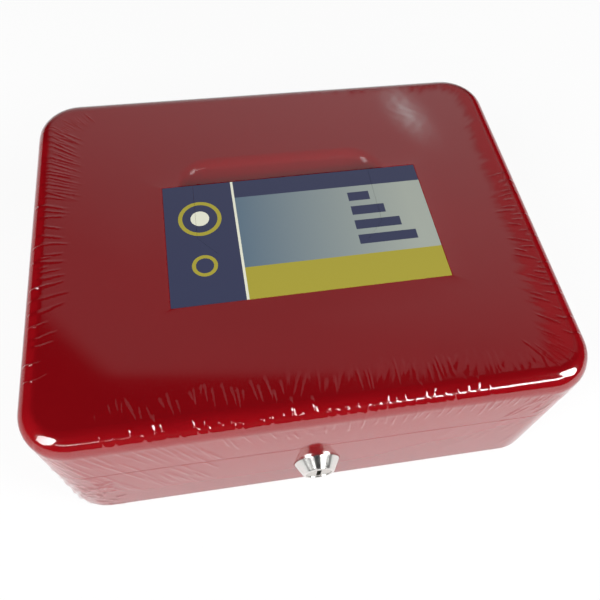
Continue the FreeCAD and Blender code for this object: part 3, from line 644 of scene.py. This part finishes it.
def lid_film():
    """The lid's skin: in from the card, over the top's border, round the edge and down to the seam."""
    alongs = steps(
        0,
        film_round - wide_pitch,
        ((corner_starts[0] - 0.015, left_start + 0.155), (front_start - 0.02, right_start + 0.11)),
    )
    inner_rows, border_rows, edge_rows, wall_rows = 16, 30, 16, 44
    edge_length = lid_edge * math.pi / 2
    shrink_x = 1 - (film_border + border_corner + lid_edge - corner_radius) / (half_x - corner_radius)
    shrink_y = 1 - (film_border + border_corner + lid_edge - corner_radius) / (half_y - corner_radius)
    upright = Vector((0, 0, 1))
    unturn = Matrix.Rotation(-card_turn, 2)
    points, normals, acrosses = [], [], []
    for along in alongs:
        core, normal = outline(along)
        core.z = lid_high.z
        start = core + normal * (corner_radius - lid_edge)
        inner = Vector((core.x * shrink_x, core.y * shrink_y, core.z)) + normal * border_corner
        away = inner - card_middle
        level = unturn @ away.xy
        reach = max(
            abs(level.x) / (card_width / 2 + card_margin), abs(level.y) / (card_length / 2 + card_margin)
        )
        cut = (card_middle + away / reach).xy.to_3d() + upright * card_high.z
        column = []
        for row in range(inner_rows):
            share = row / inner_rows
            point = cut.lerp(inner, share)
            point.z = core.z + (card_high.z - core.z) * max(0.0, 1 - 2 * share) ** 2
            column.append((point, upright, -film_border - (cut - inner).length * (1 - share)))
        for row in range(border_rows):
            share = row / border_rows
            column.append((inner.lerp(start, share), upright, -film_border * (1 - share)))
        for row in range(edge_rows + 1):
            angle = math.pi / 2 * row / edge_rows
            way = normal * math.sin(angle) + upright * math.cos(angle)
            column.append((start + (way - upright) * lid_edge, way, angle * lid_edge))
        at_back = abs(start.y - half_y + lid_edge) < 1e-6
        down = back_drop if at_back else lid_high.z - lid_edge - lid_low.z - seam_slit
        for row in range(1, wall_rows + 1):
            drop = down * row / wall_rows
            point = start + normal * lid_edge - upright * (lid_edge + drop)
            column.append((point, normal, edge_length + drop))
        points.append([tuple(point) for point, _, _ in column])
        normals.append([tuple(way) for _, way, _ in column])
        acrosses.append([across for _, _, across in column])
    points, acrosses = np.array(points), np.array(acrosses)
    heights = creased(alongs, acrosses, lid_creases)
    # A puckered patch at the back right stands higher, and a pale painted reflection is laid over it.
    pucker = points[..., :2] - np.array(pucker_middle)
    lengthwise = pucker @ np.array(pucker_way) / pucker_length
    sideways = pucker @ np.array((pucker_way[1], -pucker_way[0])) / pucker_width
    patch = np.exp(-(lengthwise**2) - sideways**2) * (points[..., 2] > lid_high.z - 0.0001)
    ripple = np.sin(sideways * 6 + 2 * np.sin(lengthwise * 5)) * np.sin(lengthwise * 7 + sideways * 2)
    heights += patch * (0.0003 + 0.0001 * ripple)
    # Where the film is tight on the paint, on the right border and the side walls, it shines less.
    grid = np.arange(0, film_round + ragged_pitch, ragged_pitch)
    ragged = np.interp(alongs, grid, [chance.gauss(0, ragged_spread) for _ in grid])
    cuts = np.interp(
        alongs,
        (corner_starts[2] - 0.012, corner_starts[2] + 0.012, right_start, corner_starts[3], film_round),
        (-0.004, 0.011, 0.011, 0.006, -0.004),
    )
    tight = np.clip((acrosses + (cuts + ragged)[:, None]) / 0.005 + 0.5, 0, 1)
    at_right = np.interp(alongs, (corner_starts[2] + 0.005, right_start), (0, 1))
    tight *= np.clip(-acrosses / 0.003 + at_right[:, None], 0, 1)
    sides = (left_start, left_start + 0.01, front_start - 0.02, front_start - 0.005)
    sides += (corner_starts[2] + 0.02, right_start, corner_starts[3], corner_starts[3] + 0.02)
    aside = np.interp(alongs, sides, (0, 1, 1, 0, 0, 1, 1, 0))
    tight = np.maximum(tight, aside[:, None] * np.clip(acrosses / 0.002, 0, 1) * 1.2)
    crest = np.clip(heights / 0.0001, 0, 1)
    on_wall = np.clip((acrosses - edge_length) / 0.004 + 0.5, 0, 1)
    sheen = (1 - tight_dulling * tight * (1 - crest)) * (1 - (1 - wall_sheen) * on_wall)
    # Only the puckered patch carries the pale painted reflection.
    looks = {"painted_reflection": 0.24 * patch * (0.75 + 0.25 * ripple), "sheen": sheen}
    kept = np.ones(heights.shape, bool)
    return film_mesh("lid_film", points, np.array(normals), heights, looks, kept, True)


base_creases = (
    strew(spaced(front_middle, -118, -50, 1.8, 3.4), (0, 24), (16, 25), (14, 30), broad, sharp)
    + strew(spaced(front_start, -40, 8, 0.4, 0.8), (8, 50), (0, 180), (4, 10), broad, rough)
    + strew(spaced(front_middle, 60, 103, 3, 7), (0, 40), (-26, -10), (10, 25), broad, fine)
)
seam_drop = 0.0003
lock_margin = 0.0005
under_turn = math.radians(75)


def base_film():
    """The base's skin, from the left back corner round the front to the right back corner."""
    alongs = steps(left_start, corner_starts[3], ((front_start - 0.045, front_start + 0.085),))
    wall_rows, edge_rows = 70, 8
    wall_top = lid_low.z - seam_slit - seam_drop
    points, normals, acrosses = [], [], []
    for along in alongs:
        core, normal = outline(along)
        wall = core + normal * corner_radius
        column = []
        for row in range(wall_rows):
            z = wall_top - (wall_top - base_edge) * row / wall_rows
            column.append((Vector((wall.x, wall.y, z)), normal, wall_top - z))
        for row in range(edge_rows):
            angle = under_turn * row / (edge_rows - 1)
            way = normal * math.cos(angle) - Vector((0, 0, math.sin(angle)))
            foot = wall - normal * base_edge
            place = Vector((foot.x, foot.y, base_edge)) + way * base_edge
            column.append((place, way, wall_top - base_edge + angle * base_edge))
        points.append([tuple(point) for point, _, _ in column])
        normals.append([tuple(way) for _, way, _ in column])
        acrosses.append([across for _, _, across in column])
    points, acrosses = np.array(points), np.array(acrosses)
    heights = creased(alongs, acrosses, base_creases)
    ring = lock_radius + lock_margin
    from_lock = points[..., [0, 2]] - np.array((lock_centre.x, lock_centre.z))
    distance = np.linalg.norm(from_lock, axis=-1)
    inside = (distance < ring) & (points[..., 1] < 0)
    moved = from_lock[inside] * (ring / np.maximum(distance[inside], 1e-6))[:, None]
    points[..., 0][inside] = lock_centre.x + moved[:, 0]
    points[..., 2][inside] = lock_centre.z + moved[:, 1]
    looks = {"painted_reflection": 0.0, "sheen": wall_sheen}
    return film_mesh("base_film", points, np.array(normals), heights, looks, ~inside, False)


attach(lid_film(), "lid")
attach(base_film(), "base")


# Floor, light and camera. A plain white floor, two oval lamps with a thin strip beside each, and a fill.
# The fill lights the front wall and no mirror shows it. The surround is pale behind the box and dark
# before it, so that its edge lies across the lid, and the camera is where the photo was taken.

floor_half = 12.0
floor_glow = 0.9
# How the painted shadow that mirrors see on the floor falls and rises with distance from the box.
painted_shadow_fall, painted_shadow_rise, painted_shadow_depth = 43.0, 13.0, 0.3


def white_floor():
    """White to the camera and to mirrors, which see a painted shadow darken it close to the box."""
    finish = Finish("white_floor")
    rays = finish.node("LightPath", out="Is Camera Ray")
    path = rays.socket.node.outputs
    folded = finish.node("VectorMath", {"operation": "ABSOLUTE"}, {0: finish.place()})
    past = finish.node("VectorMath", {"operation": "SUBTRACT"}, {0: folded, 1: (half_x, half_y, 0.0)})
    outside = finish.node("VectorMath", {"operation": "MAXIMUM"}, {0: past, 1: (0.0, 0.0, 0.0)})
    distance = finish.node("VectorMath", {"operation": "LENGTH"}, {0: outside}, out="Value")
    # Painted shadow: mirrors see the floor darken in a band a few centimetres out from the box, and white
    # again farther off.
    bright = finish.larger(1.0 - painted_shadow_fall * distance, painted_shadow_rise * distance - painted_shadow_depth)
    mirrored = Value(finish, path["Is Glossy Ray"]) + Value(finish, path["Is Transmission Ray"])
    seen = rays + mirrored * finish.clamp(bright)
    glow = finish.node("Emission", {}, {"Color": (1.0, 1.0, 1.0, 1.0), "Strength": 1.0})
    matt = finish.node("BsdfDiffuse", {}, {"Color": (0.82, 0.82, 0.82, 1.0)})
    share = finish.clamp(seen) * floor_glow
    return finish.show(finish.node("MixShader", {}, {0: share, 1: matt, 2: glow}))


floor_mesh = bpy.data.meshes.new("floor")
floor_mesh.from_pydata(
    [(x * floor_half, y * floor_half, 0) for x, y in ((-1, -1), (1, -1), (1, 1), (-1, 1))],
    [],
    [(0, 1, 2, 3)],
)
floor_mesh.materials.append(white_floor())
floor = bpy.data.objects.new("floor", floor_mesh)
bpy.context.scene.collection.objects.link(floor)


def surround():
    """Pale towards the back right, with an edge before and to the left of it, and plain to the camera."""
    world = bpy.data.worlds.new("surround")
    finish = Finish("surround", world)
    way = finish.node("TexCoord", out="Generated")
    sideways = finish.node("SeparateXYZ", {}, {0: way}, out="X")
    behind = Value(finish, sideways.socket.node.outputs["Y"])
    height = Value(finish, sideways.socket.node.outputs["Z"])
    pale = finish.clamp(0.48 * sideways + 1.28 * behind - 0.45, 0.21, 0.96)
    past_front = 0.124 * sideways + 0.91 * behind - 0.414 * height
    past_left = 0.753 * sideways + 0.641 * behind - 0.149 * height
    front_end = finish.clamp(85.0 * past_front + 0.5)
    left_end = finish.clamp(40.0 * past_left + 0.5)
    right_end = finish.clamp(3.6 - 4.5 * sideways)
    low_end = finish.clamp(finish.larger(5.0 * height - 1.7, 10.0 * behind - 8.0))
    glow = pale * front_end * low_end * left_end * right_end
    rays = finish.node("LightPath", out="Is Camera Ray")
    colour = finish.mix(rays, glow, (0.9, 0.9, 0.9))
    shine = finish.node("Background", {}, {"Color": colour, "Strength": 1.0})
    finish.node("OutputWorld", {}, {"Surface": shine})
    return world


bpy.context.scene.world = surround()


lamp_distance = 1.5


def soft_lamp(name, way, size, power):
    """An oval lamp that faces the box from a direction."""
    data = bpy.data.lights.new(name, "AREA")
    data.shape = "ELLIPSE"
    data.size, data.size_y = size
    data.energy = power
    lamp = bpy.data.objects.new(name, data)
    lamp.location = Vector(way).normalized() * lamp_distance
    lamp.rotation_euler = Vector(way).to_track_quat("Z", "Y").to_euler()
    bpy.context.scene.collection.objects.link(lamp)
    return lamp


soft_lamp("lamp_left", (-0.70, -0.44, 0.57), (0.55, 1.1), 19.6)
soft_lamp("strip_left", (-0.386, -0.725, 0.57), (0.6, 0.06), 0.7)
soft_lamp("lamp_right", (0.725, -0.386, 0.57), (0.5, 0.95), 14.3)
soft_lamp("strip_right", (0.505, -0.647, 0.57), (1.05, 0.18), 6.0)
soft_lamp("fill_front", (-0.1, -0.94, 0.33), (1.2, 0.5), 8.5).visible_glossy = False

camera_azimuth = math.radians(-13.41)
camera_elevation = math.radians(58.63)
camera_roll = math.radians(5.17)
camera_distance = 0.3311
camera_target = Vector((0.0043, -0.0165, 0.045))
frame_pixels = 600
focal_pixels = 614.0

camera_data = bpy.data.cameras.new("camera")
camera_data.sensor_width = 36.0
camera_data.lens = camera_data.sensor_width * focal_pixels / frame_pixels
camera_data.clip_start = 0.01
camera = bpy.data.objects.new("camera", camera_data)
bpy.context.scene.collection.objects.link(camera)
back = Vector(
    (
        math.sin(camera_azimuth) * math.cos(camera_elevation),
        -math.cos(camera_azimuth) * math.cos(camera_elevation),
        math.sin(camera_elevation),
    )
)
level = Vector((math.cos(camera_azimuth), math.sin(camera_azimuth), 0.0))
upright = back.cross(level)
right = math.cos(camera_roll) * level + math.sin(camera_roll) * upright
up = -math.sin(camera_roll) * level + math.cos(camera_roll) * upright
turn = Matrix((right, up, back)).transposed().to_4x4()
camera.matrix_world = Matrix.Translation(camera_target + back * camera_distance) @ turn
bpy.context.scene.camera = camera
bpy.context.scene.view_settings.view_transform = "Standard"
